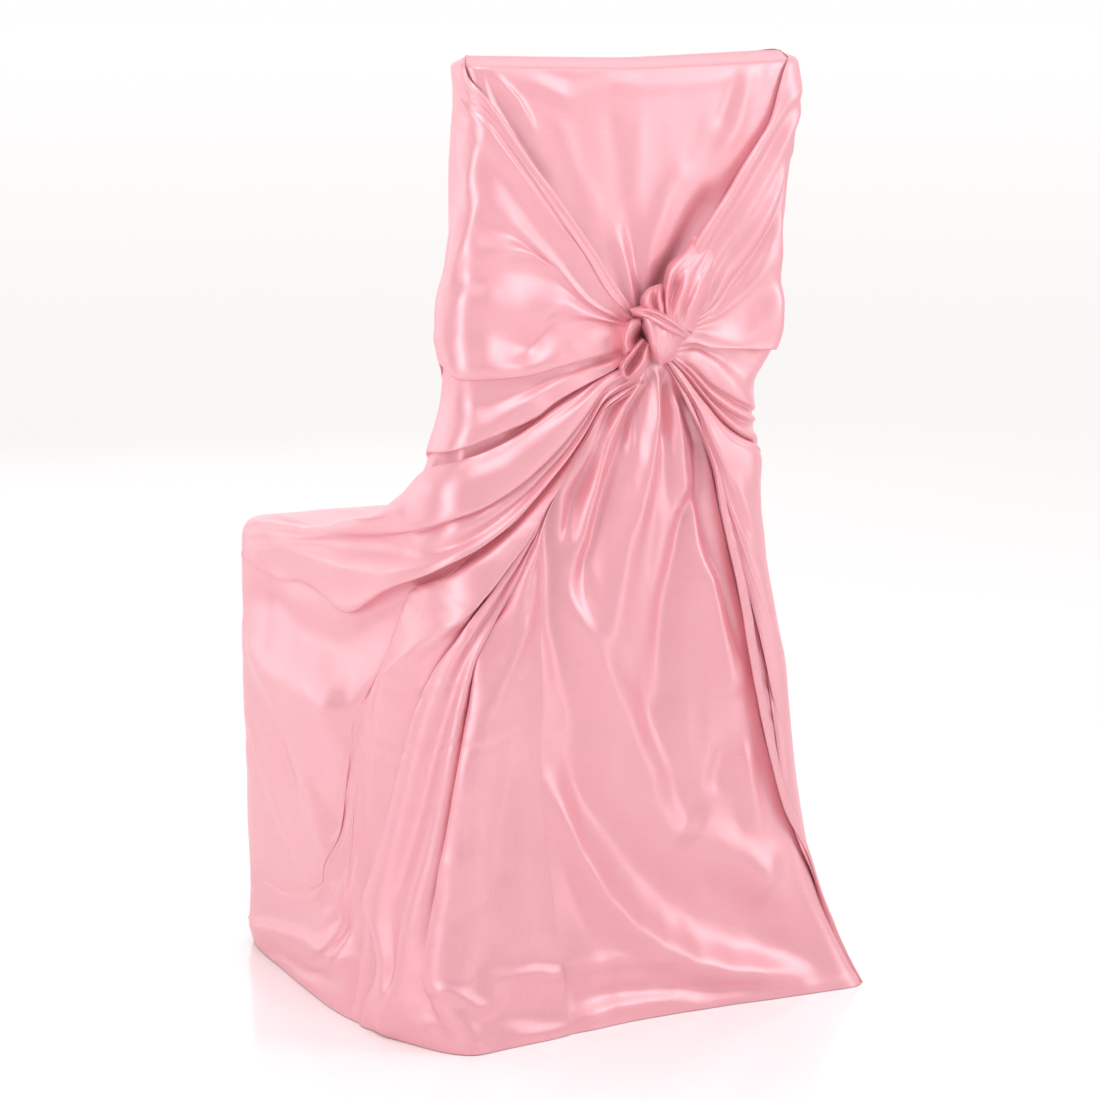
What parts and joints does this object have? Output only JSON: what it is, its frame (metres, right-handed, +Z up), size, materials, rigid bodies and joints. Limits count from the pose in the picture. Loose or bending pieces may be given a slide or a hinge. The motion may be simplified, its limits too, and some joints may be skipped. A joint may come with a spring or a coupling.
{
  "type": "chair cover",
  "caption": "Floor-length fitted satin cover for an upright chair, hollow and open below, drawn back from its top corners and knotted across its back.",
  "frame": {"origin": "on the floor under the middle of the cover's bounding box", "axes": "+Z up; +X toward the left side seen from behind; the knotted back faces +Y and the seat side faces -Y"},
  "size_m": [0.5236, 0.472, 0.9548],
  "materials": {
    "satin": "pale pink polyester satin, glossy",
    "knot_satin": "pale pink polyester satin, glossy"
  },
  "bodies": {
    "root": {"cover": "satin", "tie_knot": "knot_satin"}
  },
  "joints": []
}
